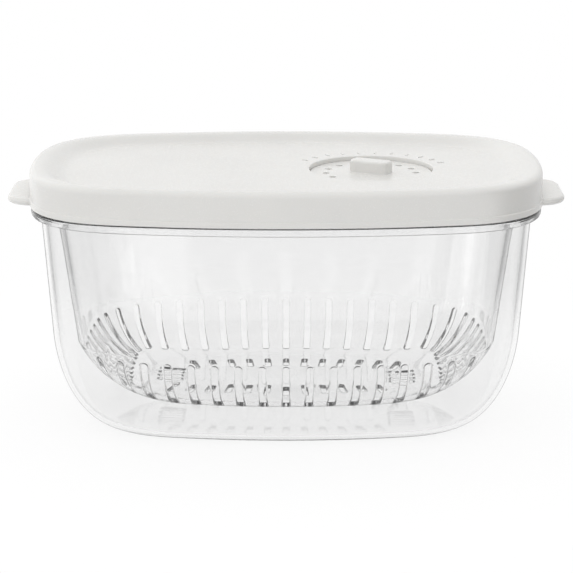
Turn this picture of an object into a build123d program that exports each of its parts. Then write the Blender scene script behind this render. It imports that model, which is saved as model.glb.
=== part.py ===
from build123d import *

import math
import os

# Onion keeper: a clear tub with a flanged rim, a slotted strainer basket that hangs in it,
# and a pale press-on lid with two pull tabs and a turning vent dial.
# The origin is at the centre of the tub's flat base. +X runs along the long side, +Z up. Sizes in mm.

# Driving dimensions
lidHalfLength = 115.9
lidHalfWidth = 72.5
overallHeight = 116.6
skirtHeight = 15.7
wall = 2.6
basketWall = 2.0
runningGap = 0.3

# Tub
tubRimLevel = 98.0
tubTopHalfLength = 111.4
tubTopHalfWidth = 68.8
tubBaseHalfLength = 104.2
tubBaseHalfWidth = 65.8
tubEndCorner = (24.0, 41.0)
tubSideCorner = (13.0, 20.5)
skirtGap = 0.7
flangeThickness = 3.2
rimWall = 1.6
rimGapToSkirt = 1.0
ledgeAboveFlange = 2.2

# Lid
lidWall = 2.0
skirtBottom = overallHeight - skirtHeight
skirtBeadHeight = 2.6
skirtBeadOut = 0.4
crestRound = 3.0
crestInset = 4.8
panelInset = 12.6
panelDepth = 3.8
panelLevel = overallHeight - panelDepth
plugInset = 7.0
plugDepth = 5.2
tabReach = 10.7
tabHalfWidth = 23.1
tabCornerRadius = 13.0
tabLength = 36.0
tabThickness = 3.3
tabDrop = 0.9

# Lid seal
sealThickness = 2.2
sealSideGap = 0.3

# Vent dial
dialX = 38.7
wellRadius = 28.2
wellDepth = 4.4
wellFloorThickness = 1.8
dialRadius = wellRadius - runningGap
dialDrop = 2.0
dialEdgeRound = 0.5
dialSealThickness = 0.8
dialSealInset = 1.9
gripWidth = 8.5
gripLength = 19.0
gripCornerRadius = 2.4
gripRise = 5.6
gripEdgeRound = 1.2
gripTurn = -27.0
stemRadius = 5.0
stemFit = 0.06
retainerRadius = 9.0
retainerThickness = 1.8
retainerGap = 0.1
ventRadius = 1.6
ventRing = 20.5
ventStep = 26.0
ventsPerGroup = 4
ventGroups = (36.0, 172.0)

# Basket
basketFloor = 12.0
basketEndGaps = (6.3, 4.1)
basketSideGaps = (5.3, 2.9)
basketEndCorner = (40.0, 40.0)
basketSideCorner = (20.0, 20.0)
basketLip = 2.0
slotCount = 48
slotTop = 36.0
slotLayoutInset = 7.0
slotLean = 0.15
slotWidth = 3.3
wallSlotEnd = (13.2, 24.8)
floorSlotStart = (28.4, 36.8)
floorSlotLength = 12.0
floorSlotWidth = 2.6
floorSlotSpacing = 3.9

bowlLevels = (0, 0.3, 1.2, 2.8, 5.5, 9, 14, 21, 30, 40)

# Outline shape, as shares of the half length and half width
sideBow = 3.6
endBow = 2.5
cornerShare = 0.58


def quadrantPoints(halfLength, halfWidth):
    """End, middle and corner points of one quadrant: a bowed end, a corner and a bowed side, all tangent."""
    sideRadius = sideBow * halfLength
    endRadius = endBow * halfWidth
    cornerRadius = cornerShare * halfWidth
    sideCentre = Vector(0, halfWidth - sideRadius)
    endCentre = Vector(halfLength - endRadius, 0)
    # The corner's centre is where two circles about the other centres cross.
    first = sideRadius - cornerRadius
    second = endRadius - cornerRadius
    between = endCentre - sideCentre
    along = (first ** 2 - second ** 2 + between.length ** 2) / (2 * between.length)
    across = math.sqrt(first ** 2 - along ** 2)
    unit = between.normalized()
    cornerCentre = sideCentre + unit * along + Vector(unit.Y, -unit.X) * across
    toSide = (cornerCentre - sideCentre).normalized()
    toEnd = (cornerCentre - endCentre).normalized()
    endPoint = endCentre + toEnd * endRadius
    sidePoint = sideCentre + toSide * sideRadius
    cornerPoint = cornerCentre + (toSide + toEnd).normalized() * cornerRadius
    endMiddle = endCentre + (toEnd + Vector(1, 0)).normalized() * endRadius
    sideMiddle = sideCentre + (toSide + Vector(0, 1)).normalized() * sideRadius
    return [Vector(halfLength, 0), endMiddle, endPoint, cornerPoint, sidePoint, sideMiddle, Vector(0, halfWidth)]


def outline(halfLength, halfWidth, level):
    """A closed rounded-box outline of tangent arcs, which starts at the middle of the +X end."""
    edges = []
    for signX, signY in ((1, 1), (-1, 1), (-1, -1), (1, -1)):
        points = [Vector(signX * p.X, signY * p.Y, level) for p in quadrantPoints(halfLength, halfWidth)]
        if signX * signY < 0:
            points.reverse()
        edges += [ThreePointArc(*points[i:i + 3]) for i in (0, 2, 4)]
    return Wire(edges)


def loftOutlines(sections):
    """A solid with straight bands between sections given as (half length, half width, level)."""
    return Solid.make_loft([outline(*section) for section in sections], True)


def mix(low, high, share):
    return low + (high - low) * share


def tubSection(level, inset=0.0):
    """The tub's straight drafted wall at a level, moved inward by an inset."""
    share = level / tubRimLevel
    halfLength = mix(tubBaseHalfLength, tubTopHalfLength, share) - inset
    halfWidth = mix(tubBaseHalfWidth, tubTopHalfWidth, share) - inset
    return halfLength, halfWidth


def cornerInset(corner, inset, rise):
    """How far a bottom corner, a quarter ellipse, stands inside the wall at a rise over the floor."""
    reach, height = corner[0] - inset, corner[1] - inset
    if rise >= height:
        return 0.0
    return reach * (1 - math.sqrt(1 - (1 - rise / height) ** 2))


def bowl(section, inset, floor, top, endCorner, sideCorner):
    """A bowl with a flat floor, rounded more at its ends than along its sides, moved inward by an inset."""
    sections = []
    for rise in bowlLevels:
        halfLength, halfWidth = section(floor + rise, inset)
        halfLength -= cornerInset(endCorner, inset, rise)
        halfWidth -= cornerInset(sideCorner, inset, rise)
        sections.append((halfLength, halfWidth, floor + rise))
    sections.append((*section(top, inset), top))
    return loftOutlines(sections)


def straightRing(halfLength, halfWidth, bottom, top):
    return loftOutlines([(halfLength, halfWidth, bottom), (halfLength, halfWidth, top)])


# Levels and outlines that more than one piece uses
flangeTop = skirtBottom - skirtGap
flangeBottom = flangeTop - flangeThickness
ledgeLevel = flangeTop + ledgeAboveFlange
rimOutside = lidWall + rimGapToSkirt
rimInside = rimOutside + rimWall
channelTop = overallHeight - lidWall
rimTop = channelTop - sealThickness
panelUnderside = panelLevel - lidWall
plugBottom = panelUnderside - plugDepth
wellFloor = panelLevel - wellDepth
wellUnderside = wellFloor - wellFloorThickness
dialTop = panelLevel - dialDrop
dialUnderside = wellFloor + dialSealThickness
retainerTop = wellUnderside - retainerGap
retainerBottom = retainerTop - retainerThickness


def insetLid(inset):
    return lidHalfLength - inset, lidHalfWidth - inset


def makeContainer():
    outside = bowl(tubSection, 0.0, 0.0, flangeBottom, tubEndCorner, tubSideCorner)
    inside = bowl(tubSection, wall, wall, ledgeLevel, tubEndCorner, tubSideCorner)
    flange = straightRing(*insetLid(runningGap), flangeBottom, flangeTop)
    rim = straightRing(*insetLid(rimOutside), flangeTop, rimTop)
    seat = straightRing(*insetLid(rimInside), ledgeLevel, rimTop)
    return outside + flange + rim - seat - inside


def basketSection(level, inset=0.0):
    """The basket's straight wall, nested in the tub: each pair of gaps is at the tub's base and at its rim."""
    share = level / tubRimLevel
    halfLength, halfWidth = tubSection(level, wall + inset)
    return halfLength - mix(*basketEndGaps, share), halfWidth - mix(*basketSideGaps, share)


def slotLines():
    """Where each slot crosses the layout outline, and the unit vector that runs outward along it."""
    layout = outline(*basketSection(slotTop, basketWall + slotLayoutInset), 0)
    lines = []
    for k in range(slotCount):
        point = layout.position_at(k / slotCount)
        tangent = layout.tangent_at(k / slotCount)
        normal = Vector(tangent.Y, -tangent.X)
        outward = (normal * (1 - slotLean) + point.normalized() * slotLean).normalized()
        lines.append((point, outward))
    return lines


def slotDistance(sizes, outward):
    """A distance inward from the layout outline: the first size along the sides, the second at the ends."""
    return mix(*sizes, outward.X ** 2) - slotLayoutInset


def slotBar(point, outward, start, end, width, bottom, top):
    """A bar along a slot's line between two distances from the layout outline, rounded at its top."""
    across = Plane(origin=point + outward * start, x_dir=Vector(-outward.Y, outward.X), z_dir=outward)
    height = top - bottom - width / 2
    face = Pos(0, bottom + height / 2) * Rectangle(width, height) + Pos(0, bottom + height) * Circle(width / 2)
    return extrude(across * face, amount=end - start)


def makeBasket():
    lipLevel = ledgeLevel + basketLip
    outside = bowl(basketSection, 0.0, basketFloor, ledgeLevel, basketEndCorner, basketSideCorner)
    floorTop = basketFloor + basketWall
    inside = bowl(basketSection, basketWall, floorTop, lipLevel, basketEndCorner, basketSideCorner)
    lip = straightRing(*insetLid(rimInside + runningGap), ledgeLevel, lipLevel)
    basket = outside + lip - inside
    cutters = []
    lines = slotLines()
    for k, (point, outward) in enumerate(lines):
        cutters.append(slotBar(
            point, outward, -slotDistance(wallSlotEnd, outward), basketWall * 2, slotWidth, basketFloor - 1, slotTop
        ))
        start = slotDistance(floorSlotStart, outward)
        inner = point - outward * (start + floorSlotLength)
        nextPoint, nextOutward = lines[(k + 1) % slotCount]
        nextInner = nextPoint - nextOutward * (slotDistance(floorSlotStart, nextOutward) + floorSlotLength)
        if (inner - nextInner).length > floorSlotSpacing:
            cutters.append(slotBar(
                point, outward, -start - floorSlotLength, -start,
                floorSlotWidth, basketFloor - 1, floorTop + floorSlotWidth,
            ))
    return basket - cutters


def lidShell():
    """The lid's outside with its soft crest, less the sunk panel."""
    crestLevel = overallHeight - crestRound
    sections = [(*insetLid(0), skirtBottom)]
    for degrees in (0, 22.5, 45, 67.5, 90):
        turn = math.radians(degrees)
        sections.append((
            *insetLid(crestRound * (1 - math.cos(turn))), crestLevel + crestRound * math.sin(turn)
        ))
    shell = loftOutlines(sections)
    # The panel's edge rises to the crest in a half cosine.
    rise = []
    for share in (0, 0.2, 0.4, 0.6, 0.8, 1):
        lift = (1 - math.cos(math.pi * share)) / 2
        rise.append((*insetLid(mix(panelInset, crestInset, share)), mix(panelLevel, overallHeight, lift)))
    return shell - loftOutlines(rise)


def pullTab(side):
    """A rounded tongue at one end of the skirt, trimmed to the skirt and clear of the tub's flange."""
    place = Pos(side * (lidHalfLength + tabReach - tabLength / 2), 0, skirtBottom - tabDrop)
    tongue = place * extrude(RectangleRounded(tabLength, tabHalfWidth * 2, tabCornerRadius), amount=tabThickness)
    inside = straightRing(*insetLid(lidWall / 2), skirtBottom - tabThickness, skirtBottom + tabThickness)
    flangeRoom = straightRing(*insetLid(-runningGap), skirtBottom - tabThickness, flangeTop + runningGap)
    return tongue - inside - flangeRoom


def ventHoles(bottom, top):
    """Two groups of round vent holes on a ring round the dial's grip."""
    holes = []
    for middle in ventGroups:
        for k in range(ventsPerGroup):
            angle = middle + ventStep * (k - (ventsPerGroup - 1) / 2)
            hole = Rot(0, 0, angle) * Pos(ventRing, 0, (bottom + top) / 2) * Cylinder(ventRadius, top - bottom)
            holes.append(Pos(dialX, 0, 0) * hole)
    return holes


def disc(radius, bottom, top):
    """A round plate about the dial's axis."""
    return Pos(dialX, 0, (bottom + top) / 2) * Cylinder(radius, top - bottom)


def makeLid():
    lid = lidShell()
    lid -= straightRing(*insetLid(lidWall), skirtBottom, plugBottom)
    channel = straightRing(*insetLid(lidWall), plugBottom, channelTop)
    lid -= channel - straightRing(*insetLid(plugInset), plugBottom, channelTop)
    lid -= straightRing(*insetLid(plugInset + lidWall), plugBottom, panelUnderside)
    bead = straightRing(*insetLid(-skirtBeadOut), skirtBottom, skirtBottom + skirtBeadHeight)
    lid += bead - straightRing(*insetLid(lidWall), skirtBottom, skirtBottom + skirtBeadHeight)
    lid += [pullTab(1), pullTab(-1)]
    lid += disc(wellRadius + lidWall, wellUnderside, panelUnderside)
    lid -= disc(wellRadius, wellFloor, overallHeight)
    lid -= disc(stemRadius + stemFit, wellUnderside, wellFloor)
    return lid - ventHoles(wellUnderside, wellFloor)


def makeLidGasket():
    outer = straightRing(*insetLid(lidWall + sealSideGap), rimTop, channelTop)
    return outer - straightRing(*insetLid(plugInset - sealSideGap), rimTop, channelTop)


def makeVentDial():
    plate = disc(dialRadius, dialUnderside, dialTop)
    plate = fillet(plate.edges().group_by(Axis.Z)[-1], dialEdgeRound)
    grip = extrude(RectangleRounded(gripLength, gripWidth, gripCornerRadius), amount=gripRise)
    grip = fillet(grip.edges().group_by(Axis.Z)[-1], gripEdgeRound)
    dial = plate + Pos(dialX, 0, dialTop) * Rot(0, 0, gripTurn) * grip
    dial += disc(stemRadius, retainerBottom, dialUnderside)
    return dial - ventHoles(dialUnderside, dialTop)


def makeDialSeal():
    seal = disc(dialRadius - dialSealInset, wellFloor, dialUnderside)
    seal -= disc(stemRadius, wellFloor, dialUnderside)
    return seal - ventHoles(wellFloor, dialUnderside)


def makeDialRetainer():
    return disc(retainerRadius, retainerBottom, retainerTop) - disc(stemRadius, retainerBottom, retainerTop)


pieces = {
    "container": makeContainer,
    "strainer_basket": makeBasket,
    "lid": makeLid,
    "lid_gasket": makeLidGasket,
    "vent_dial": makeVentDial,
    "dial_seal": makeDialSeal,
    "dial_retainer": makeDialRetainer,
}

os.makedirs("parts", exist_ok=True)
for name, make in pieces.items():
    export_step(make(), f"parts/{name}.step")
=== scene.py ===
import bmesh
import bpy
import numpy as np
from mathutils.geometry import delaunay_2d_cdt
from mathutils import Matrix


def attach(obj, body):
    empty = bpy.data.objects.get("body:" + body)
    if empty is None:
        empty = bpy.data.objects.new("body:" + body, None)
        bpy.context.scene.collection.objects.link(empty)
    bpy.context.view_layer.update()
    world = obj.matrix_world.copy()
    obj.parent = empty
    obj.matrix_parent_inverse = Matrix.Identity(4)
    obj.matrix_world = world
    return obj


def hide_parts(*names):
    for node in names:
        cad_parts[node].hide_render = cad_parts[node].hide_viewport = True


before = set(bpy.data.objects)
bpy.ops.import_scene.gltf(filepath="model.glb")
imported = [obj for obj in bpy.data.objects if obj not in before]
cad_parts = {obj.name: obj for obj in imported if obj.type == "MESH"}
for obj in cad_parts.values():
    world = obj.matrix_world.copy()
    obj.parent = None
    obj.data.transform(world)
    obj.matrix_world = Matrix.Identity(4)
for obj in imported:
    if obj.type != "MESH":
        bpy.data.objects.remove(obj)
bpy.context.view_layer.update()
print("frame loaded:", ", ".join(sorted(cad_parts)))

# Lengths in the dictionaries are millimetres, and the meshes are written in metres.
millimetre = 0.001

# camera and stage

cameraSetup = {
    "x": 0.18, "y": -1000.0, "z": 316.58, "lookDown": 14.56, "lens": 140.45, "sensor": 36.0, "clip": (0.05, 60.0)}

cameraData = bpy.data.cameras.new("photoCamera")
cameraData.sensor_width = cameraSetup["sensor"]
cameraData.lens = cameraSetup["lens"]
cameraData.clip_start, cameraData.clip_end = cameraSetup["clip"]
camera = bpy.data.objects.new("photoCamera", cameraData)
camera.location = [cameraSetup[axis] * millimetre for axis in "xyz"]
camera.rotation_euler = (np.radians(90.0 - cameraSetup["lookDown"]), 0.0, 0.0)
scene = bpy.context.scene
scene.collection.objects.link(camera)
scene.camera = camera
scene.view_settings.view_transform = "Standard"


# shapes: outlines, rounded paths and welded meshes

outlineShape = {
    "sideBow": 3.6, "endBow": 2.5, "cornerShare": 0.58, "soften": 0.01, "samples": 4608, "fineColumns": 1536}


def outlineRings(halfLengths, halfWidths, count):
    # A bowed end, a corner and a bowed side in each quarter, all tangent: the normal's angle grows by length over
    # radius along each arc. That angle is smoothed along the length and summed up again, and the ring is scaled
    # back to its half length and half width. Points are evenly spaced from the middle of the +X end.
    a = np.asarray(halfLengths, float).reshape(-1, 1)
    b = np.asarray(halfWidths, float).reshape(-1, 1)
    n = outlineShape["samples"]
    side, end, corner = outlineShape["sideBow"] * a, outlineShape["endBow"] * b, outlineShape["cornerShare"] * b
    first, second = side - corner, end - corner
    gapX, gapY = a - end, side - b
    gap = np.hypot(gapX, gapY)
    along = (first ** 2 - second ** 2 + gap ** 2) / (2 * gap)
    across = np.sqrt(first ** 2 - along ** 2)
    cornerX = (gapX * along + gapY * across) / gap
    cornerY = b - side + (gapY * along - gapX * across) / gap
    endTurn = np.arctan2(cornerY, cornerX - gapX)
    sideTurn = np.arctan2(cornerY + gapY, cornerX)
    endLength = end * endTurn
    cornerLength = endLength + corner * (sideTurn - endTurn)
    quarter = cornerLength + side * (np.pi / 2 - sideTurn)
    at = (np.arange(n) + 0.5) / n * 4
    part = np.floor(at)
    local = np.where(part % 2 == 1, 1 - at + part, at - part) * quarter
    turn = np.where(local < endLength, local / end, endTurn + (local - endLength) / corner)
    turn = np.where(local < cornerLength, turn, sideTurn + (local - cornerLength) / side)
    turn = np.choose(part.astype(int), [turn, np.pi - turn, np.pi + turn, 2 * np.pi - turn])
    drift = np.fft.rfft(turn - at * np.pi / 2, axis=1)
    drift *= np.exp(-2 * (np.pi * np.arange(drift.shape[1]) * outlineShape["soften"]) ** 2)
    turn = np.fft.irfft(drift, n, axis=1) + at * np.pi / 2
    x, y = np.cumsum(-np.sin(turn), 1) + np.sin(turn), np.cumsum(np.cos(turn), 1) - np.cos(turn)
    x -= (x.max(1, keepdims=True) + x.min(1, keepdims=True)) / 2
    y -= (y.max(1, keepdims=True) + y.min(1, keepdims=True)) / 2
    x *= a / np.maximum(abs(x).max(1, keepdims=True), 1e-9)
    y *= b / np.maximum(abs(y).max(1, keepdims=True), 1e-9)
    pick = np.arange(count) * n // count
    return np.stack([x[:, pick], y[:, pick]], -1)


def outlineRing(half, count):
    # The outline of one half length and half width.
    return outlineRings([half[0]], [half[1]], count)[0]


def atLevel(ring, level):
    # A plan's points in space, all at one height.
    return np.concatenate([ring, np.full((len(ring), 1), float(level))], 1)


def unit(vectors):
    # Each vector over its own length.
    return vectors / np.linalg.norm(vectors, axis=-1, keepdims=True)


def polar(x, y):
    # The angle and the distance of plan points from the origin.
    return np.arctan2(y, x), np.hypot(x, y)


def turned(angles):
    # Unit directions in plan: the cosine and the sine of each angle.
    return np.stack([np.cos(angles), np.sin(angles)], -1)


def evenAngles(count):
    # Even steps once round a circle.
    return np.arange(count) / count * 2 * np.pi


def roundPath(path, steps=4):
    # Each station is a ring of points with a reach. A reach makes its corner a quadratic curve that starts and ends
    # that far from it.
    rows = []
    for k, (station, reach) in enumerate(path):
        if not reach:
            rows.append(station)
            continue
        before, after = path[k - 1][0], path[(k + 1) % len(path)][0]
        start, stop = station + unit(before - station) * reach, station + unit(after - station) * reach
        rows += [(1 - t) ** 2 * start + 2 * t * (1 - t) * station + t ** 2 * stop for t in np.linspace(0, 1, steps + 1)]
    return rows


def refineRows(rows, longest):
    # Evenly spaced rows fill each gap that is longer than the limit.
    filled = [rows[0]]
    for low, high in zip(rows[:-1], rows[1:]):
        parts = int(np.ceil(np.linalg.norm(high - low, axis=1).mean() / longest))
        filled += [low + (high - low) * k / max(parts, 1) for k in range(1, max(parts, 1) + 1)]
    return filled


def gridSurface(rows, closed=True):
    # Four-sided faces between each row and the next, which close on themselves round a ring.
    points = np.asarray(rows)
    count, columns = points.shape[:2]
    i = np.arange(count - 1)[:, None] * columns
    j = np.arange(columns if closed else columns - 1)[None, :]
    k = (j + 1) % columns
    faces = np.stack([i + j, i + k, i + columns + k, i + columns + j], -1).reshape(-1, 4)
    return points.reshape(-1, 3), faces


def insideLoop(points, loop):
    # Even-odd rule: counts how often a line to the right of each point crosses the loop.
    x, y = points[:, :1], points[:, 1:]
    x0, y0 = loop.T
    x1, y1 = np.roll(loop, -1, 0).T
    crosses = ((y0 > y) != (y1 > y)) & (x < (x1 - x0) * (y - y0) / np.where(y1 == y0, 1e-12, y1 - y0) + x0)
    return crosses.sum(1) % 2 == 1


def holedPlate(outer, holes, extra=np.empty((0, 2))):
    # Triangles between an outer loop and the loops of its holes, in plan. Extra points keep them small.
    points = np.concatenate([outer, *holes, extra])
    edges, start = [], 0
    for loop in [outer, *holes]:
        k = np.arange(len(loop))
        edges += np.stack([start + k, start + (k + 1) % len(loop)], 1).tolist()
        start += len(loop)
    found = delaunay_2d_cdt(points.tolist(), edges, [], 0, 1e-6)
    source = np.array([ids[0] for ids in found[3]])
    faces = source[np.array(found[2])]
    centres = points[faces].mean(1)
    keep = insideLoop(centres, outer)
    for hole in holes:
        keep &= ~insideLoop(centres, hole)
    faces = faces[keep]
    return points, np.concatenate([faces, faces[:, 2:]], 1)


def capCurve(half, radius, steps):
    # One end of a slot: two quarter turns and the flat between them, at equal steps of length.
    quarter = np.pi * radius / 2
    t = np.linspace(0, 2 * quarter + 2 * (half - radius), steps + 1)
    back = t[-1] - t
    angle = np.minimum(np.minimum(t, back), quarter) / max(radius, 1e-9)
    side = np.where(t < back, -1, 1)
    flat = np.clip(t - quarter, 0, 2 * (half - radius)) - (half - radius)
    x = np.where(np.minimum(t, back) < quarter, side * (half - radius + radius * np.cos(angle)), flat)
    return np.stack([x, -radius * np.sin(angle)], 1)


def closedLoop(cap, foot, sideSteps):
    # A loop of a cap, a straight side, a foot and another straight side, with evenly spaced points on the sides.
    share = np.linspace(0, 1, sideSteps + 1)[1:-1, None]
    return np.concatenate([cap, cap[-1] + (foot[0] - cap[-1]) * share, foot, foot[-1] + (cap[0] - foot[-1]) * share])


def slotLoop(half, top, bottom, topRadius, bottomRadius, grow, counts):
    # A slot's outline, grown all round by an offset. Its radii stay over 0.02 mm, so that no corner folds.
    half, top, bottom = half + grow, top - grow, bottom + grow
    topRadius, bottomRadius = np.clip([topRadius + grow, bottomRadius + grow], 0.02, half)
    cap = capCurve(half, topRadius, counts[0]) + (0, top + topRadius)
    foot = capCurve(half, bottomRadius, counts[0])[::-1] * (1, -1) + (0, bottom - bottomRadius)
    return closedLoop(cap, foot, counts[1])


def middleLine(loop):
    # A slot outline's points moved onto its long middle line, which closes the surface that ends there.
    half, reach = np.abs(loop).max(0)
    return np.stack([0 * loop[:, 0], np.clip(loop[:, 1], half - reach, reach - half)], 1)


def edgeSteps(radius, thickness):
    # Offset and depth pairs through a hole: a quarter round, the hole's wall and the other quarter round.
    angle = np.radians([0, 30, 60, 90])
    offset, depth = radius * (1 - np.sin(angle)), radius * (1 - np.cos(angle))
    return list(zip(offset, depth)) + list(zip(offset[::-1], thickness - depth[::-1]))


weldGrid = {"size": 0.004, "shift": 0.37}


def weld(parts):
    # Points in one cell of a fine grid become one, so that surfaces which share an edge close up. The shift keeps
    # round lengths off the cells' borders.
    starts = np.cumsum([0] + [len(points) for points, faces in parts])
    points = np.concatenate([points for points, faces in parts])
    faces = np.concatenate([faces + start for (_, faces), start in zip(parts, starts)])
    keys = np.floor(points / weldGrid["size"] + weldGrid["shift"]).astype(np.int64)
    keys, first, source = np.unique(keys, axis=0, return_index=True, return_inverse=True)
    points, faces = points[first], source.reshape(-1)[faces]
    same = faces == np.roll(faces, -1, 1)
    whole = faces[same.sum(1) == 0]
    narrow = faces[same.sum(1) == 1]
    skip = same[same.sum(1) == 1].argmax(1)
    triangles = np.stack([narrow[np.arange(len(narrow)), (skip + k) % 4] for k in (1, 2, 3)], 1)
    triangles = triangles[(triangles != np.roll(triangles, -1, 1)).all(1)]
    return points, whole.tolist() + triangles.tolist()


def areaNormals(mesh):
    # Each point's normal is the sum of its faces' normals by area, so that broad faces stay flat up to their edges.
    count = len(mesh.polygons)
    normal, area = np.zeros(count * 3), np.zeros(count)
    total, corner = np.zeros(count, np.int32), np.zeros(len(mesh.loops), np.int32)
    mesh.polygons.foreach_get("normal", normal)
    mesh.polygons.foreach_get("area", area)
    mesh.polygons.foreach_get("loop_total", total)
    mesh.loops.foreach_get("vertex_index", corner)
    weighted = np.repeat(normal.reshape(-1, 3) * area[:, None], total, axis=0)
    summed = np.stack([np.bincount(corner, weighted[:, k], len(mesh.vertices)) for k in range(3)], 1)
    return summed / np.maximum(np.linalg.norm(summed, axis=1, keepdims=True), 1e-20)


def makePiece(name, parts, material, body, node):
    # Welds the parts, turns their faces outwards, gives the piece its material and body, and hides the CAD node it
    # replaces.
    points, faces = weld(parts)
    mesh = bpy.data.meshes.new(name)
    mesh.from_pydata((points * millimetre).tolist(), [], faces)
    build = bmesh.new()
    build.from_mesh(mesh)
    bmesh.ops.recalc_face_normals(build, faces=build.faces)
    loose = sum(1 for edge in build.edges if len(edge.link_faces) != 2)
    build.to_mesh(mesh)
    build.free()
    mesh.shade_smooth()
    mesh.normals_split_custom_set_from_vertices(areaNormals(mesh).tolist())
    mesh.materials.append(material)
    piece = bpy.data.objects.new(name, mesh)
    scene.collection.objects.link(piece)
    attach(piece, body)
    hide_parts(node)
    print(f"{name}: {len(mesh.polygons)} faces, {loose} open edges")


# materials

def toLinear(hexColour):
    # From sRGB to linear: a straight part near black and a power of 2.4 above it.
    values = np.array([int(hexColour[k:k + 2], 16) for k in (1, 3, 5)]) / 255
    return (*np.where(values <= 0.04045, values / 12.92, ((values + 0.055) / 1.055) ** 2.4), 1.0)


def addNode(tree, kind, links=None, **settings):
    # Adds a shader node. Settings go on the node itself. Links go on its inputs: a socket, a node for its first
    # output, or a plain value.
    node = tree.nodes.new("ShaderNode" + kind)
    for key, value in settings.items():
        setattr(node, key, value)
    for key, value in (links or {}).items():
        value = value.outputs[0] if isinstance(value, bpy.types.Node) else value
        if isinstance(value, bpy.types.NodeSocket):
            tree.links.new(value, node.inputs[key])
        else:
            node.inputs[key].default_value = value
    return node


def newMaterial(name):
    material = bpy.data.materials.new(name)
    material.use_nodes = True
    material.node_tree.nodes.clear()
    return material, material.node_tree


# The edge values set where and how strongly a painted grey shade darkens the walls' outlines.
clearLook = {
    "tint": "#FCFCFC", "ior": 1.54, "roughness": 0.01, "absorb": 7.0, "waveSize": 22.0, "wave": 0.05,
    "absorbColour": "#8C8C8C", "edgeStart": 0.86, "edgeEnd": 0.98, "paintedEdgeShade": 0.6, "paintedEdgeShadeColour": "#3A3A3A"}


def clearCopolyester(name, look):
    # Moulded clear copolyester, polished: water clear, with the faint wave of the melt's flow, about 20 mm across.
    # Where a wall turns edge on, a flat dark grey is mixed in: painted shade that draws its outline as a thin grey
    # line.
    material, tree = newMaterial(name)
    place = addNode(tree, "TexCoord").outputs["Object"]
    wave = addNode(tree, "TexNoise", {
        "Vector": place, "Scale": 1000 / look["waveSize"], "Detail": 1.5, "Roughness": 0.4})
    bump = addNode(tree, "Bump", {"Height": wave, "Strength": look["wave"], "Distance": 0.001})
    shader = addNode(tree, "BsdfPrincipled", {
        "Base Color": toLinear(look["tint"]), "Roughness": look["roughness"], "IOR": look["ior"],
        "Transmission Weight": 1.0, "Normal": bump})
    # Painted shade: the share of flat dark grey grows as the surface turns edge on.
    facing = addNode(tree, "LayerWeight", {"Blend": 0.5})
    edge = addNode(tree, "MapRange", {
        "Value": facing.outputs["Facing"], "From Min": look["edgeStart"], "From Max": look["edgeEnd"],
        "To Max": look["paintedEdgeShade"]}, interpolation_type="SMOOTHSTEP")
    rim = addNode(tree, "BsdfDiffuse", {"Color": toLinear(look["paintedEdgeShadeColour"])})
    surface = addNode(tree, "MixShader", {0: edge, 1: shader, 2: rim})
    depth = addNode(tree, "VolumeAbsorption", {"Color": toLinear(look["absorbColour"]), "Density": look["absorb"]})
    addNode(tree, "OutputMaterial", {"Surface": surface, "Volume": depth})
    return material


polypropyleneLook = {
    "colour": "#ECEBE8", "shade": "#E8E7E4", "ior": 1.49, "roughness": 0.26, "roughnessSpread": 0.05, "specular": 0.9,
    "grain": 0.35, "grainDepth": 0.12, "flow": 30.0, "flowSpan": (0.3, 0.7), "milk": 0.12, "milkDepth": 2.0}


def finishPolypropylene(name, look):
    # Moulded polypropylene or silicone: waxy and slightly milky, with the mould's fine spark-eroded grain and a soft
    # change of shade where the melt ran. The real grain is near 0.1 mm and is drawn at 0.35 mm, so that it shows.
    material, tree = newMaterial(name)
    place = addNode(tree, "TexCoord").outputs["Object"]
    flow = addNode(tree, "TexNoise", {"Vector": place, "Scale": 1000 / look["flow"], "Detail": 3.0})
    grain = addNode(tree, "TexNoise", {"Vector": place, "Scale": 1000 / look["grain"], "Detail": 2.0})
    shade = addNode(tree, "ValToRGB", {"Fac": flow})
    for stop, position, key in zip(shade.color_ramp.elements, look["flowSpan"], ("shade", "colour")):
        stop.position, stop.color = position, toLinear(look[key])
    gloss = addNode(tree, "MapRange", {
        "Value": grain, "To Min": look["roughness"] - look["roughnessSpread"],
        "To Max": look["roughness"] + look["roughnessSpread"]})
    bump = addNode(tree, "Bump", {"Height": grain, "Strength": look["grainDepth"], "Distance": 0.0001})
    shader = addNode(tree, "BsdfPrincipled", {
        "Base Color": shade, "Roughness": gloss, "IOR": look["ior"],
        "Specular IOR Level": look["specular"], "Subsurface Weight": look["milk"],
        "Subsurface Scale": look["milkDepth"] * millimetre, "Subsurface Radius": (1.0, 0.9, 0.8), "Normal": bump})
    addNode(tree, "OutputMaterial", {"Surface": shader})
    return material


siliconeLook = dict(polypropyleneLook, colour="#E9E9E4", shade="#DEDED8", roughness=0.55, specular=0.5, grain=0.5,
                    grainDepth=0.2, flow=12.0, milk=0.25)

tubClear = clearCopolyester("moulded clear copolyester tub", clearLook)
basketClear = clearCopolyester(
    "moulded clear copolyester basket", dict(clearLook, tint="#FFFFFF", absorb=2.0, waveSize=18.0))
lidPlastic = finishPolypropylene("moulded white polypropylene lid", polypropyleneLook)
dialPlastic = finishPolypropylene("moulded white polypropylene dial", dict(polypropyleneLook, flow=14.0))
retainerPlastic = finishPolypropylene(
    "moulded white polypropylene retainer", dict(polypropyleneLook, colour="#E2E1DD", shade="#DAD9D4"))
sealSilicone = finishPolypropylene("moulded clear-white silicone", siliconeLook)
print("materials ready")


# tub

tub = {
    "rimLevel": 98.0, "topHalf": (111.4, 68.8), "baseHalf": (104.2, 65.8), "endCorner": (24.0, 41.0),
    "sideCorner": (13.0, 20.5), "wall": 2.6, "flangeBottom": 97.0, "flangeTop": 100.2, "ledge": 102.4, "rimTop": 112.4,
    "flangeInset": 0.3, "rimOutside": 3.0, "rimInside": 4.6, "columns": 384, "cornerSteps": 36,
    "baseShares": (0, 0.3, 0.6, 0.85, 0.95), "longestRow": 7.0}
lidHalf = (115.9, 72.5)


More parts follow.
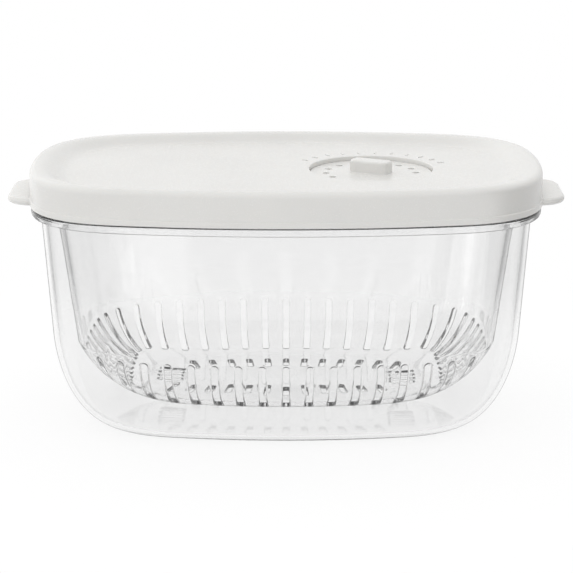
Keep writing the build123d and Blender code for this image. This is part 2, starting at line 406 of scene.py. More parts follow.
def tubSection(level, inset=(0.0, 0.0)):
    # Half length and half width of the wall, which go evenly from the base to the rim, less an inset for each.
    share = np.asarray(level, float) / tub["rimLevel"]
    return [tub["baseHalf"][k] + (tub["topHalf"][k] - tub["baseHalf"][k]) * share - inset[k] for k in (0, 1)]


def cornerInset(corner, inset, rise):
    # How far a bottom corner stands inside the wall at a rise over the floor: a quarter ellipse of reach and height.
    reach, height = corner[0] - inset, corner[1] - inset
    return reach * (1 - np.sqrt(np.maximum(1 - np.maximum(1 - rise / height, 0) ** 2, 0)))


def bowlRings(section, corners, inset, rise, level, columns):
    # The rings of a bowl at each rise over its floor: the wall's section, less the end's and the side's corner.
    a, b = section(level + rise, (inset, inset))
    return outlineRings(a - cornerInset(corners[0], inset, rise), b - cornerInset(corners[1], inset, rise), columns)


def cornerRises(corner, inset, steps):
    # Rises that are closest near the floor: the corner's height times one less the cosine of evenly spaced angles.
    return (corner[1] - inset) * (1 - np.cos(steps))


def lidRing(inset, level, columns, endMore=0.0):
    # The lid's outline moved in by an inset, and by more at the ends.
    return atLevel(outlineRing((lidHalf[0] - inset - endMore, lidHalf[1] - inset), columns), level)


def makeTub():
    # One path of rings from under the base up the outside, round the flange and rim, and down the inside to the floor.
    columns, wall = tub["columns"], tub["wall"]
    corners = (tub["endCorner"], tub["sideCorner"])

    def bowl(inset):
        rises = cornerRises(tub["endCorner"], inset, np.linspace(0, np.pi / 2, tub["cornerSteps"]))
        rings = bowlRings(tubSection, corners, inset, rises, inset, columns)
        return [atLevel(ring, inset + rise) for ring, rise in zip(rings, rises)]

    ring = lambda inset, level: lidRing(tub[inset], tub[level], columns)
    outside, inside = bowl(0.0), bowl(wall)
    base = [outside[0] * (share, share, 1) for share in tub["baseShares"]]
    floor = [inside[0] * (share, share, 1) for share in tub["baseShares"][::-1]]
    wallTop = atLevel(outlineRing(tubSection(tub["flangeBottom"]), columns), tub["flangeBottom"])
    seat = atLevel(outlineRing(tubSection(tub["ledge"], (wall, wall)), columns), tub["ledge"])
    path = [(row, 0) for row in base + outside] + [
        (wallTop, 1.0), (ring("flangeInset", "flangeBottom"), 0.8), (ring("flangeInset", "flangeTop"), 0.8),
        (ring("rimOutside", "flangeTop"), 0.6), (ring("rimOutside", "rimTop"), 0.6), (ring("rimInside", "rimTop"), 0.6),
        (ring("rimInside", "ledge"), 0.6), (seat, 0.7)] + [(row, 0) for row in inside[::-1] + floor]
    rows = refineRows(roundPath(path), tub["longestRow"])
    makePiece("clearTub", [gridSurface(rows)], tubClear, "tub", "container")


# basket

basket = {
    "floor": 12.0, "endGaps": (6.3, 4.1), "sideGaps": (5.3, 2.9), "endCorner": (40.0, 40.0),
    "sideCorner": (20.0, 20.0), "wall": 2.0, "lipLevel": 102.4, "lipTop": 104.4, "lipInset": 4.9, "slots": 48,
    "slotTop": 36.0, "layoutInset": 7.0, "lean": 0.15, "slotWidth": 3.3, "wallSlotEnd": (13.2, 24.8),
    "footRadius": 0.9, "edgeRound": 0.5, "draft": 0.2, "floorSlotStart": (28.4, 36.8), "floorSlotLength": 12.0,
    "floorSlotWidth": 2.6, "floorSlotRadius": 1.0, "floorSlotEdge": 0.35, "floorSlotSpacing": 3.9}
# How finely the basket is measured and meshed. The shares are of the way from a cell's border to its slot, and from
# the wall's foot to the flat floor.
basketGrid = {
    "pitchSteps": 48, "downStep": 0.1, "down": (-74.0, 66.0), "cornerRows": 80, "wallRises": (40.0, 8),
    "floorRows": 48, "floorArc": 0.75, "turnSteps": 1440, "reach": (-44.0, 32.0), "halvings": 30, "cellAbove": 3.0,
    "cellBelow": 2.4, "capSteps": 8, "sideSteps": 18, "cellShares": (0, 0.45, 0.8), "floorSlotSteps": (6, 8),
    "flatHalf": (50.0, 33.0), "floorShares": (0.12, 0.28, 0.45, 0.65, 0.85), "floorClear": 0.6, "longestRow": 5.0,
    "innerRings": ((3, 0.5), (12, 0.2)), "normalSteps": (0.08, 0.6), "slopeStep": 0.3, "topMargin": 0.01}


def basketSection(level, inset=(0.0, 0.0)):
    # The gaps to the tub go from their size at the tub's base to their size at its rim.
    share = np.asarray(level, float) / tub["rimLevel"]
    gaps = [low + (high - low) * share for low, high in (basket["endGaps"], basket["sideGaps"])]
    return tubSection(level, [tub["wall"] + gap + k for gap, k in zip(gaps, inset)])


def insideRings(steps, columns, extra=()):
    # Rings of the basket's inner face and their levels, at steps of its corner's angle and at extra rises above it.
    wall = basket["wall"]
    rise = np.concatenate([cornerRises(basket["endCorner"], wall, steps), extra])
    corners = (basket["endCorner"], basket["sideCorner"])
    return bowlRings(basketSection, corners, wall, rise, basket["floor"] + wall, columns), basket["floor"] + wall + rise


def slotLines(count):
    # Start points evenly spaced on an outline inside the wall, each with a direction between normal and radial.
    inset = basket["wall"] + basket["layoutInset"]
    ring = outlineRing(basketSection(basket["slotTop"], (inset, inset)), count)
    tangent = unit(np.roll(ring, -1, 0) - np.roll(ring, 1, 0))
    normal = np.stack([tangent[:, 1], -tangent[:, 0]], 1)
    return ring, unit(normal * (1 - basket["lean"]) + unit(ring) * basket["lean"])


def reachRing(ring, start, outward):
    # How far along each line a ring lies, found by halving the span.
    angle, radius = polar(*ring.T)
    order = np.argsort(angle)
    angle, radius = angle[order], radius[order]
    angle = np.concatenate([angle[-2:] - 2 * np.pi, angle, angle[:2] + 2 * np.pi])
    radius = np.concatenate([radius[-2:], radius, radius[:2]])
    low, high = (np.full(len(start), end) for end in basketGrid["reach"])
    for _ in range(basketGrid["halvings"]):
        middle = (low + high) / 2
        turn, distance = polar(*(start + outward * middle[:, None]).T)
        inside = distance < np.interp(turn, angle, radius)
        low, high = np.where(inside, middle, low), np.where(inside, high, middle)
    return (low + high) / 2


def slotShare(sizes, outward):
    # A size along the sides and another at the ends, less the layout's own inset.
    return sizes[0] + (sizes[1] - sizes[0]) * outward[:, 0] ** 2 - basket["layoutInset"]


class WallTable:
    # The basket's inner face as distance out and height, at fine steps of slot pitch and of length down the wall.
    def __init__(self):
        self.fine, self.step = basketGrid["pitchSteps"], basketGrid["downStep"]
        self.low, high = basketGrid["down"]
        self.start, self.outward = slotLines(basket["slots"] * self.fine)
        firstRise, rises = basketGrid["wallRises"]
        above = np.linspace(firstRise, basket["lipTop"] - basket["floor"] - basket["wall"], rises)
        steps = np.linspace(0, np.pi / 2, basketGrid["cornerRows"])
        rings, level = insideRings(steps, outlineShape["fineColumns"], above)
        out = np.array([reachRing(ring, self.start, self.outward) for ring in rings])
        length = np.concatenate([
            np.zeros((1, out.shape[1])), np.cumsum(np.hypot(np.diff(out, axis=0), np.diff(level)[:, None]), 0)])
        atTop = np.array([np.interp(basket["slotTop"], level, column) for column in length.T])
        down = (atTop - length)[::-1].T
        self.grid = np.arange(self.low, high, self.step)
        self.out = np.array([np.interp(self.grid, *columns) for columns in zip(down, out[::-1].T)])
        self.level = np.array([np.interp(self.grid, column, level[::-1]) for column in down])

    def lookUp(self, table, s, down):
        # Between the table's four nearest values, where s counts slots and down is a length.
        i, j = s * self.fine, (down - self.low) / self.step
        i0, j0 = np.floor(i).astype(int), np.clip(np.floor(j).astype(int), 0, len(self.grid) - 2)
        u, v = i - i0, np.clip(j - j0, 0, 1)
        i1, i0 = (i0 + 1) % len(table), i0 % len(table)
        return ((table[i0, j0] * (1 - v) + table[i0, j0 + 1] * v) * (1 - u)
                + (table[i1, j0] * (1 - v) + table[i1, j0 + 1] * v) * u)

    def onLine(self, values, s):
        # Between the two nearest fine lines.
        i = s * self.fine
        i0 = np.floor(i).astype(int)
        u = (i - i0).reshape(i.shape + (1,) * (values.ndim - 1))
        return values[i0 % len(values)] * (1 - u) + values[(i0 + 1) % len(values)] * u

    def point(self, s, down):
        out, level = self.lookUp(self.out, s, down), self.lookUp(self.level, s, down)
        plan = self.onLine(self.start, s) + self.onLine(self.outward, s) * out[..., None]
        return np.concatenate([plan, level[..., None]], -1)

    def normal(self, s, down):
        # Outward: across the slots' direction and down the wall, from points a little to each side.
        u, v = basketGrid["normalSteps"]
        across = self.point(s + u, down) - self.point(s - u, down)
        along = self.point(s, down + v) - self.point(s, down - v)
        return unit(np.cross(along, across))

    def offset(self, s, down, depth):
        return self.point(s, down) + self.normal(s, down) * depth

    def downAt(self, values):
        # Length down the wall at which the face is a given distance out, for each fine line.
        return np.array([np.interp(-v, -row, self.grid) for v, row in zip(values, self.out)])


def floorTable():
    # Radius of each ring over the middle of the basket's floor, at even steps of the angle round it.
    steps = np.linspace(0, basketGrid["floorArc"], basketGrid["floorRows"])
    rings, level = insideRings(steps, outlineShape["fineColumns"])
    turn = np.linspace(-np.pi, np.pi, basketGrid["turnSteps"] + 1)
    radius = [np.interp(turn, *polar(*ring.T), period=2 * np.pi) for ring in rings]
    return np.array(radius), level


floorRadius, floorLevel = floorTable()


def bowlHeight(plan):
    # Height of the basket's inner face over the middle of its floor, from the rings that pass each point.
    turn, radius = polar(*plan.T)
    place = (turn + np.pi) / (2 * np.pi) * basketGrid["turnSteps"]
    k = np.clip(np.floor(place).astype(int), 0, basketGrid["turnSteps"] - 1)
    column = floorRadius[:, k] * (1 - place + k) + floorRadius[:, k + 1] * (place - k)
    above = np.clip((column < radius).sum(0), 1, len(floorLevel) - 1)
    low, high = column[above - 1, np.arange(len(plan))], column[above, np.arange(len(plan))]
    share = np.clip((radius - low) / (high - low), 0, 1)
    return floorLevel[above - 1] + (floorLevel[above] - floorLevel[above - 1]) * share


def onBowl(plan, depth=0.0):
    # Points of the basket's inner face over a plan, moved down its normal by a depth. The normal is the face's slope
    # over a short step to each side.
    step = basketGrid["slopeStep"]
    slopeX, slopeY = ((bowlHeight(plan + side) - bowlHeight(plan - side)) / (2 * step)
                      for side in np.diag([step, step]))
    normal = unit(np.stack([slopeX, slopeY, -np.ones(len(plan))], 1))
    return np.concatenate([plan, bowlHeight(plan)[:, None]], 1) + normal * depth


def makeBasket():
    # A cell for each slot, the wall above them up to the lip, and the floor, which share their edges.
    table = WallTable()
    slots, wall, edge, draft = (basket[key] for key in ("slots", "wall", "edgeRound", "draft"))
    capSteps, sideSteps, cellAbove = (basketGrid[key] for key in ("capSteps", "sideSteps", "cellAbove"))
    slotEnd = table.downAt(-slotShare(basket["wallSlotEnd"], table.outward))
    cellBottom = slotEnd + basketGrid["cellBelow"]
    parts = []

    def cellBorder(k):
        # The border of a slot's cell, point for point beside the slot's outline.
        across = k + np.linspace(-0.5, 0.5, capSteps + 1)
        foot = np.stack([across, table.onLine(cellBottom, across)], 1)[::-1]
        return closedLoop(np.stack([across, 0 * across - cellAbove], 1), foot, sideSteps)

    # Each slot with the wall round it, from the cell's border in to the slot's rounded edge and through it.
    for k in range(slots):
        def loop(grow):
            half, foot = basket["slotWidth"] / 2, float(slotEnd[k * table.fine])
            flat = slotLoop(half, 0, foot, half, basket["footRadius"], grow, (capSteps, sideSteps))
            down = flat[:, 1]
            right, left = (table.point(k + side + 0 * down, down) for side in (0.25, -0.25))
            pitch = 2 * np.linalg.norm(right - left, axis=-1)
            return np.stack([k + flat[:, 0] / pitch, down], 1)

        border = cellBorder(k)
        face = [(border + (loop(edge) - border) * t, 0.0) for t in basketGrid["cellShares"]]
        hole = [(loop(grow - draft * depth / wall), depth) for grow, depth in edgeSteps(edge, wall)]
        back = [(border + (loop(edge - draft) - border) * t, wall) for t in basketGrid["cellShares"][::-1]]
        parts.append(gridSurface([table.offset(*plan.T, depth) for plan, depth in face + hole + back]))

    # Upper wall and lip, in columns that meet the cells.
    s = np.arange(slots * capSteps) / capSteps - 0.5

    def wallAt(level, depth):
        down = np.array([np.interp(-level, -row, table.grid) for row in table.level])
        return table.offset(s, table.onLine(down, s), depth)

    border = np.full(len(s), -cellAbove)
    start, outward = table.onLine(table.start, s), table.onLine(table.outward, s)
    lip = outlineRing([half - basket["lipInset"] for half in lidHalf], outlineShape["fineColumns"])
    lipPlan = start + outward * reachRing(lip, start, outward)[:, None]
    underLip = wallAt(basket["lipLevel"], wall)
    underLip[:, 2] = basket["lipLevel"]
    path = [
        (table.offset(s, border, 0.0), 0), (wallAt(basket["lipTop"] - basketGrid["topMargin"], 0.0), 0.7),
        (atLevel(lipPlan, basket["lipTop"]), 0.6), (atLevel(lipPlan, basket["lipLevel"]), 0.5), (underLip, 0.5),
        (table.offset(s, border, wall), 0)]
    parts.append(gridSurface(refineRows(roundPath(path), basketGrid["longestRow"])))

    # Floor: the wall's last row, the floor's slots, and rings of extra points where it starts to rise.
    rim, rimUnder = (table.offset(s, table.onLine(cellBottom, s), depth) for depth in (0.0, wall))
    points, directions = table.start[::table.fine], table.outward[::table.fine]
    first = slotShare(basket["floorSlotStart"], directions)
    last = first + basket["floorSlotLength"]
    innerEnds = points - directions * last[:, None]
    spaced = np.linalg.norm(innerEnds - np.roll(innerEnds, -1, 0), axis=1) > basket["floorSlotSpacing"]
    kept = np.arange(slots)[spaced]
    half, radius, floorEdge = basket["floorSlotWidth"] / 2, basket["floorSlotRadius"], basket["floorSlotEdge"]

    def floorLoop(k, grow):
        flat = slotLoop(half, first[k], last[k], radius, radius, grow, basketGrid["floorSlotSteps"])
        along, sideways = -directions[k], directions[k][::-1] * (-1, 1)
        return points[k] + along * flat[:, 1:] + sideways * flat[:, :1]

    flatRing = outlineRing(basketGrid["flatHalf"], slots * capSteps // 2)
    matched = rim[::2, :2]
    turn, flatTurn = (np.unwrap(polar(*ring.T)[0]) for ring in (matched, flatRing))
    flatMatch = np.stack([np.interp(turn, flatTurn, values, period=2 * np.pi) for values in flatRing.T], 1)
    extra = [matched + (flatMatch - matched) * t for t in basketGrid["floorShares"]]
    extra = np.concatenate(extra + [flatMatch[::every] * share for every, share in basketGrid["innerRings"]])
    clearOf = np.full(len(extra), np.inf)
    for k in kept:
        centreLine = np.clip((points[k] - extra) @ directions[k], first[k], last[k])
        nearest = points[k] - directions[k] * centreLine[:, None]
        clearOf = np.minimum(clearOf, np.linalg.norm(extra - nearest, axis=1))
    extra = extra[clearOf > half + floorEdge + basketGrid["floorClear"]]
    plan, faces = holedPlate(rim[:, :2], [floorLoop(k, floorEdge) for k in kept], extra)
    top, under = onBowl(plan), onBowl(plan, wall)
    top[:len(rim)], under[:len(rim)] = rim, rimUnder
    parts += [(top, faces), (under, faces)]
    for k in kept:
        steps = edgeSteps(floorEdge, wall)
        parts.append(gridSurface([onBowl(floorLoop(k, grow), depth) for grow, depth in steps]))
    makePiece("clearBasket", parts, basketClear, "basket", "strainer_basket")


# lid

lid = {
    "skirtBottom": 100.9, "top": 116.6, "wall": 2.0, "beadOut": 0.4, "beadTop": 103.5, "beadSlope": 0.3,
    "crestRound": 3.0, "crestInset": 4.8, "panelInset": 12.6, "panelEndMore": 4.5, "panel": 112.8, "panelUnder": 110.8,
    "channelTop": 114.6, "plugInset": 7.0, "plugBottom": 105.6, "dialX": 38.7, "wellRadius": 28.2, "wellEdge": 3.0,
    "wellFloor": 108.4, "wellUnder": 106.6, "stemHole": 5.06, "plateOut": 26.0, "plateIn": 7.0, "tabReach": 9.9,
    "tabHalfWidth": 23.1, "tabCorner": 12.0, "tabRoot": 8.0, "tabTurn": 1.33, "tabInset": 1.2, "tabTop": 103.3,
    "tabBottom": 100.0, "tabEdge": 1.4, "tabColumns": 121, "tabLeast": 0.2, "ventRadius": 1.6, "ventEdge": 0.3,
    "ventSides": 20, "ventRing": 20.5, "ventStep": 26.0, "ventsPerGroup": 4, "ventGroups": (36.0, 172.0),
    "tickRing": 34.5, "tickLength": 3.2, "tickWidth": 1.0, "tickAngles": (20, 160, 13), "tickSteps": (8, 4),
    "tickProfile": ((0, -0.3), (0, 0.0), (-0.04, 0.21), (-0.16, 0.3)), "columns": 384,
    "panelShares": (0.03, 0.1, 0.25, 0.45, 0.65, 0.85, 1), "longestRow": 9.0}


def circleRing(angles, radius, level):
    # Points at a radius round the dial's centre.
    return atLevel(turned(angles) * radius + (lid["dialX"], 0), level)


def ventCentres():
    # Each group's vents stand at even angles on a circle, half of them to each side of the group's middle.
    step, count = lid["ventStep"], lid["ventsPerGroup"]
    angles = np.radians([middle + step * (k - (count - 1) / 2) for middle in lid["ventGroups"] for k in range(count)])
    return turned(angles) * lid["ventRing"] + (lid["dialX"], 0)


def ventLoop(centre, grow):
    # A vent's circle, grown by an offset.
    return centre + (lid["ventRadius"] + grow) * turned(evenAngles(lid["ventSides"]))


def ventWalls(top, bottom):
    # Each vent from the top face down: a quarter round, its wall and a quarter round.
    steps = edgeSteps(lid["ventEdge"], top - bottom)
    return [gridSurface([atLevel(ventLoop(centre, grow), top - depth) for grow, depth in steps])
            for centre in ventCentres()]


def tongueRadius(turn, shrink):
    # A rounded rectangle in polar form about a centre inside the skirt, made smaller all round by a shrink.
    halfWidth, corner = lid["tabHalfWidth"] - shrink, lid["tabCorner"] - shrink
    reach = lid["tabRoot"] + lid["tabReach"] - shrink
    bend = np.linspace(0, np.pi / 2, 60)
    x = np.concatenate([np.full(30, reach), reach - corner + corner * np.cos(bend), np.linspace(reach - corner, 0, 60)])
    y = np.concatenate([np.linspace(0, halfWidth - corner, 30), halfWidth - corner + corner * np.sin(bend),
                        np.full(60, halfWidth)])
    return np.interp(abs(turn), *polar(x, y))


def pullTab(side):
    # A tongue from inside the skirt out to its rounded edge, closed by two caps that the skirt hides.
    centre = lidHalf[0] - lid["tabRoot"]
    skirt = outlineRing([half - lid["tabInset"] for half in lidHalf], outlineShape["fineColumns"]) - (centre, 0)
    turn = np.linspace(-lid["tabTurn"], lid["tabTurn"], lid["tabColumns"])
    inner = np.interp(turn, *polar(*skirt.T), period=2 * np.pi)
    inner = np.minimum(inner, tongueRadius(turn, lid["tabEdge"]) - lid["tabLeast"])
    middle, half = (lid["tabTop"] + lid["tabBottom"]) / 2, (lid["tabTop"] - lid["tabBottom"]) / 2
    profile = [(inner, lid["tabTop"])]
    for angle in np.radians(np.linspace(0, 180, 11)):
        profile.append((tongueRadius(turn, lid["tabEdge"] * (1 - np.sin(angle))), middle + half * np.cos(angle)))
    profile.append((inner, lid["tabBottom"]))
    rows = [atLevel((turned(turn) * r[:, None] + (centre, 0)) * (side, 1), level) for r, level in profile]
    parts = [gridSurface(rows + rows[:1], closed=False)]
    for end in (0, -1):
        edge = np.array([row[end] for row in rows])
        half = (len(edge) + 1) // 2
        parts.append(gridSurface([edge[:half], edge[::-1][:half]], closed=False))
    return parts


def tickMark(angle):
    # A small raised bar that points at the dial's centre: plain setting marks. Its profile pairs how far the bar's
    # outline grows with its rise over the panel, and both ends close on the bar's middle line.
    half, reach = lid["tickWidth"] / 2, lid["tickLength"] / 2
    loops = [(slotLoop(half, -reach, reach, half, half, grow, lid["tickSteps"]), rise)
             for grow, rise in lid["tickProfile"]]
    first, last = ((middleLine(loop), rise) for loop, rise in (loops[0], loops[-1]))
    out = turned(angle)
    across, centre = out[::-1] * (-1, 1), out * lid["tickRing"] + (lid["dialX"], 0)
    return gridSurface([atLevel(centre + loop[:, :1] * across + loop[:, 1:] * out, lid["panel"] + rise)
                        for loop, rise in [first, *loops, last]])


def makeLid():
    # One path of rings from the skirt's foot over the crest and the panel into the well, one back under them, and the
    # plate with the stem's hole and the vents between the two. The slope from crest to panel is half a cosine wave.
    wall, top, panel, crest, beadOut, skirtBottom = (
        lid[key] for key in ("wall", "top", "panel", "crestRound", "beadOut", "skirtBottom"))
    well, wellFloor, wellUnder, plateOut, plateIn, plug, channelTop = (
        lid[key] for key in ("wellRadius", "wellFloor", "wellUnder", "plateOut", "plateIn", "plugInset", "channelTop"))
    ring = lambda inset, level, endMore=0.0: lidRing(inset, level, lid["columns"], endMore)
    panelEdge = ring(lid["panelInset"], panel, lid["panelEndMore"])
    angles = np.arctan2(panelEdge[:, 1], panelEdge[:, 0] - lid["dialX"])
    circle = lambda radius, level: circleRing(angles, radius, level)
    quarter = np.radians(np.linspace(0, 90, 8))
    rows = [ring(crest * (1 - np.cos(a)), top - crest * (1 - np.sin(a))) for a in quarter]
    rows += [ring(lid["crestInset"] + (lid["panelInset"] - lid["crestInset"]) * t,
                  panel + (top - panel) * (1 + np.cos(np.pi * t)) / 2, lid["panelEndMore"] * t)
             for t in np.linspace(0, 1, 15)]
    panelIn = circle(well + lid["wellEdge"], panel)
    rows += [rows[-1] + (panelIn - rows[-1]) * t for t in lid["panelShares"]]
    over = [
        (ring(wall, skirtBottom), 0), (ring(-beadOut, skirtBottom), 0.5), (ring(-beadOut, lid["beadTop"]), 0.35),
        (ring(0, lid["beadTop"] + lid["beadSlope"]), 0.25)] + [(row, 0) for row in rows] + [
        (circle(well, panel), 0.7), (circle(well, wellFloor), 0.5), (circle(plateOut, wellFloor), 0)]
    underPanel, boss = ring(plug + wall, lid["panelUnder"]), circle(well + wall, lid["panelUnder"])
    under = [
        (circle(plateOut, wellUnder), 0), (circle(well + wall, wellUnder), 0.5), (boss, 0.4),
        (boss + (underPanel - boss) * 0.3, 0), (boss + (underPanel - boss) * 0.7, 0), (underPanel, 0.5),
        (ring(plug + wall, lid["plugBottom"]), 0.4), (ring(plug, lid["plugBottom"]), 0.4),
        (ring(plug, channelTop), 0.4), (ring(wall, channelTop), 0.4), (ring(wall, skirtBottom), 0)]
    stem = [
        (circle(plateIn, wellFloor), 0), (circle(lid["stemHole"], wellFloor), 0.3),
        (circle(lid["stemHole"], wellUnder), 0.3), (circle(plateIn, wellUnder), 0)]
    parts = [gridSurface(refineRows(roundPath(path), lid["longestRow"])) for path in (over, under)]
    parts.append(gridSurface(roundPath(stem)))
    outer, inner = (circle(radius, 0)[:, :2] for radius in (plateOut, plateIn))
    plan, faces = holedPlate(outer, [inner] + [ventLoop(centre, lid["ventEdge"]) for centre in ventCentres()])
    parts += [(atLevel(plan, wellFloor), faces), (atLevel(plan, wellUnder), faces)]
    parts += ventWalls(wellFloor, wellUnder) + pullTab(1) + pullTab(-1)
    parts += [tickMark(angle) for angle in np.radians(np.arange(*lid["tickAngles"]))]
    makePiece("whiteLid", parts, lidPlastic, "lid_assembly", "lid")


# dial

dial = {
    "radius": 27.9, "top": 110.8, "under": 109.2, "edge": 0.5, "plateOut": 26.4, "gripHalfWidth": 4.25,
    "gripHalfLength": 9.5, "gripCorner": 2.4, "gripTop": 116.4, "gripRound": 1.3, "gripFoot": 0.6, "gripRoot": 0.05,
    "gripTaper": -0.15, "gripCap": -1.9, "gripSteps": (24, 12), "gripTurn": -27.0, "stem": 5.0, "stemFoot": 6.0,
    "stemBottom": 104.7, "columns": 192}


def gripLoop(grow, level, close=False):
    # The grip's outline, grown by an offset and turned about the dial's centre, or its middle line.
    corner, length = dial["gripCorner"], dial["gripHalfLength"]
    loop = slotLoop(dial["gripHalfWidth"], -length, length, corner, corner, grow, dial["gripSteps"])
    loop = middleLine(loop) if close else loop
    along = turned(np.radians(dial["gripTurn"]))
    return atLevel(loop[:, 1:] * along + loop[:, :1] * along[::-1] * (-1, 1) + (lid["dialX"], 0), level)


def makeDial():
    # Paths of rings for the rim, the grip and the stem, the two faces with the vents' holes, and the vents' walls.
    circle = lambda radius, level: circleRing(evenAngles(dial["columns"]), radius, level)
    radius, top, under, plateOut, stemRadius, stemFoot, stemBottom, foot, cap, tip = (dial[key] for key in (
        "radius", "top", "under", "plateOut", "stem", "stemFoot", "stemBottom", "gripFoot", "gripCap", "gripTop"))
    rim = [(circle(plateOut, top), 0), (circle(radius, top), dial["edge"]), (circle(radius, under), 0.3),
           (circle(plateOut, under), 0)]
    grip = [(gripLoop(foot, top), 0), (gripLoop(dial["gripRoot"], top), 0.5),
            (gripLoop(dial["gripTaper"], tip), dial["gripRound"]), (gripLoop(cap, tip), 0),
            (gripLoop(cap, tip, True), 0)]
    stem = [(circle(stemFoot, under), 0), (circle(stemRadius, under), 0.3), (circle(stemRadius, stemBottom), 0.4),
            (circle(0, stemBottom), 0)]
    parts = [gridSurface(roundPath(rim)), gridSurface(roundPath(grip, 6))]
    holes = [ventLoop(centre, lid["ventEdge"]) for centre in ventCentres()]
    for inner, level in ((gripLoop(foot, 0), top), (circle(stemFoot, 0), under)):
        plan, faces = holedPlate(circle(plateOut, 0)[:, :2], holes + [inner[:, :2]])
        parts.append((atLevel(plan, level), faces))
    parts += [gridSurface(roundPath(stem))] + ventWalls(top, under)
    makePiece("ventDial", parts, dialPlastic, "dial", "vent_dial")


makeTub()
makeBasket()
makeLid()
makeDial()

for node, material in (("lid_gasket", sealSilicone), ("dial_seal", sealSilicone), ("dial_retainer", retainerPlastic)):
    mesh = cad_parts[node].data
    mesh.materials.clear()
    mesh.materials.append(material)


# floor, world and lamps

# Lengths here are metres. The round lists the studio's brightness at azimuths from the camera's side, in degrees.
studio = {
    "floorInner": 0.17, "floorOuter": 0.30, "floorSides": 96, "floorDrop": 0.0004, "paper": "#EDEDED",
    "shadowShare": 0.12, "glow": 0.9, "skyTop": 1.1, "skySide": 0.8, "skyLow": 0.8, "overhead": (0.3, 0.8),
    "backdropInGloss": 0.12, "round": [
        (-180, 1.0), (-150, 1.6), (-115, 1.2), (-70, 0.95), (-30, 0.85), (0, 0.82), (30, 0.85), (46, 0.6), (56, 0.0),
        (100, 0.0), (112, 0.7), (140, 1.1), (180, 1.1)],
    "internalBright": 0.9, "internalDark": 0.5, "darkBand": (0.88, 0.995), "lampDistance": 1.3}
lamps = [
    {"name": "rightSoftbox", "azimuth": 50.0, "centre": -0.4, "size": (0.6, 0.7), "power": 1.2, "mirrored": True},
    {"name": "leftSoftbox", "azimuth": -24.0, "centre": -0.4, "size": (0.35, 0.7), "power": 0.25, "mirrored": True},
    {"name": "frontFill", "azimuth": 4.0, "centre": -0.1, "size": (1.2, 0.5), "power": 1.5, "mirrored": False}]


def grey(value):
    # A colour with no hue, which may be brighter than white.
    return (value, value, value, 1)


def makeFloor():
    # A round sheet of paper that fades out at its edge. Rays that show the backdrop see it white with a faint shadow.
    mesh = bpy.data.meshes.new("floor")
    ring = atLevel(turned(evenAngles(studio["floorSides"])) * studio["floorOuter"], -studio["floorDrop"])
    mesh.from_pydata(ring.tolist(), [], [list(range(len(ring)))])
    material, tree = newMaterial("matt white studio paper")
    ray = addNode(tree, "LightPath")
    shown = addNode(tree, "Math", {0: ray.outputs["Is Camera Ray"], 1: ray.outputs["Is Transmission Ray"]},
                    operation="MAXIMUM")
    shown = addNode(tree, "Math", {0: shown, 1: ray.outputs["Is Glossy Ray"]}, operation="MAXIMUM")
    paper = addNode(tree, "BsdfDiffuse", {"Color": toLinear(studio["paper"])})
    shadow = addNode(tree, "BsdfDiffuse", {"Color": grey(studio["shadowShare"])})
    glow = addNode(tree, "Emission", {"Color": grey(1), "Strength": studio["glow"]})
    both = addNode(tree, "AddShader", {0: shadow, 1: glow})
    seen = addNode(tree, "MixShader", {0: shown, 1: paper, 2: both})
    place = addNode(tree, "TexCoord").outputs["Object"]
    distance = addNode(tree, "VectorMath", {0: place}, operation="LENGTH")
    fade = addNode(tree, "MapRange", {
        "Value": distance.outputs["Value"], "From Min": studio["floorInner"], "From Max": studio["floorOuter"]},
        interpolation_type="SMOOTHSTEP")
    clear = addNode(tree, "BsdfTransparent")
    faded = addNode(tree, "MixShader", {0: fade, 1: seen, 2: clear})
    addNode(tree, "OutputMaterial", {"Surface": faded})
    mesh.materials.append(material)
    floor = bpy.data.objects.new("floor", mesh)
    scene.collection.objects.link(floor)


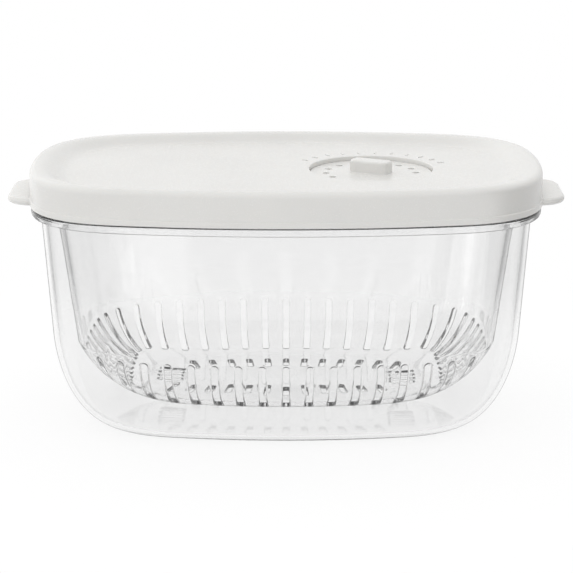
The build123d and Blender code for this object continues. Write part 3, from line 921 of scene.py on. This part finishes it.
def makeWorld():
    # Straight and refracted rays see the white backdrop. The rest see a soft studio, brightest overhead, with lighter
    # and darker sides, and glossy rays see a share of the backdrop over it. Light that was reflected inside the
    # plastic meets four dark flags between the sides.
    world = bpy.data.worlds.new("softStudio")
    world.use_nodes = True
    tree = world.node_tree
    tree.nodes.clear()
    direction = addNode(tree, "TexCoord").outputs["Generated"]
    axes = addNode(tree, "SeparateXYZ", {"Vector": direction})
    height = addNode(tree, "MapRange", {"Value": axes.outputs["Z"], "From Min": -1.0, "From Max": 1.0})
    sky = addNode(tree, "ValToRGB", {"Fac": height})
    sky.color_ramp.elements[0].color = grey(studio["skyLow"])
    sky.color_ramp.elements[1].color = grey(studio["skyTop"])
    sky.color_ramp.elements.new(0.5).color = grey(studio["skySide"])
    behind = addNode(tree, "Math", {0: axes.outputs["Y"], 1: -1.0}, operation="MULTIPLY")
    fromCamera = addNode(tree, "Math", {0: axes.outputs["X"], 1: behind}, operation="ARCTAN2")
    turn = addNode(tree, "MapRange", {"Value": fromCamera, "From Min": -np.pi, "From Max": np.pi})
    side = addNode(tree, "ValToRGB", {"Fac": turn})
    stops = side.color_ramp.elements  # each holds half its brightness, doubled below
    for degrees, value in studio["round"][1:-1]:
        stops.new(degrees / 360 + 0.5).color = grey(value / 2)
    stops[0].color, stops[-1].color = grey(studio["round"][0][1] / 2), grey(studio["round"][-1][1] / 2)
    overhead = addNode(tree, "MapRange", {
        "Value": axes.outputs["Z"], "From Min": studio["overhead"][0], "From Max": studio["overhead"][1]})
    azimuth = addNode(tree, "Math", {0: axes.outputs["Y"], 1: axes.outputs["X"]}, operation="ARCTAN2")
    double = addNode(tree, "Math", {0: azimuth, 1: 2.0}, operation="MULTIPLY")
    wave = addNode(tree, "Math", {0: double}, operation="SINE")
    between = addNode(tree, "Math", {0: wave}, operation="ABSOLUTE")
    inside = addNode(tree, "MapRange", {
        "Value": between, "From Min": studio["darkBand"][0], "From Max": studio["darkBand"][1],
        "To Min": studio["internalBright"], "To Max": studio["internalDark"]}, interpolation_type="SMOOTHSTEP")
    ray = addNode(tree, "LightPath")
    refracted = ray.outputs["Is Transmission Ray"]
    straight = addNode(tree, "Math", {0: ray.outputs["Is Camera Ray"], 1: refracted}, operation="MAXIMUM")
    glossy = addNode(tree, "Math", {0: ray.outputs["Is Glossy Ray"], 1: studio["backdropInGloss"]},
                     operation="MULTIPLY")
    shown = addNode(tree, "Math", {0: straight, 1: glossy}, operation="MAXIMUM")
    reflected = addNode(tree, "Math", {0: ray.outputs["Glossy Depth"], 1: 0.5}, operation="GREATER_THAN")
    within = addNode(tree, "Math", {0: reflected, 1: refracted}, operation="MULTIPLY")
    twice = addNode(tree, "Math", {0: side, 1: 2.0}, operation="MULTIPLY")
    sides = addNode(tree, "Mix", {"Factor": overhead, "A": twice, "B": 1.0})
    soft = addNode(tree, "Math", {0: sky, 1: sides}, operation="MULTIPLY")
    seen = addNode(tree, "Mix", {"Factor": shown, "A": soft, "B": 1.0})
    seen = addNode(tree, "Mix", {"Factor": within, "A": seen, "B": inside})
    back = addNode(tree, "Background", {"Color": seen, "Strength": 1.0})
    addNode(tree, "OutputWorld", {"Surface": back})
    scene.world = world


def makeLamps():
    # Softboxes stand round the object, at an azimuth from the camera's side, and face it. The walls mirror two.
    distance = studio["lampDistance"]
    for lamp in lamps:
        data = bpy.data.lights.new(lamp["name"], "AREA")
        data.shape = "RECTANGLE"
        data.size, data.size_y = lamp["size"]
        data.energy = lamp["power"]
        turn = np.radians(lamp["azimuth"])
        place = bpy.data.objects.new(lamp["name"], data)
        place.location = (distance * np.sin(turn), -distance * np.cos(turn), lamp["centre"])
        place.rotation_euler = (np.pi / 2, 0.0, turn)
        place.visible_camera = False
        place.visible_glossy = place.visible_transmission = lamp["mirrored"]
        scene.collection.objects.link(place)


makeFloor()
makeWorld()
makeLamps()
print("stage ready")
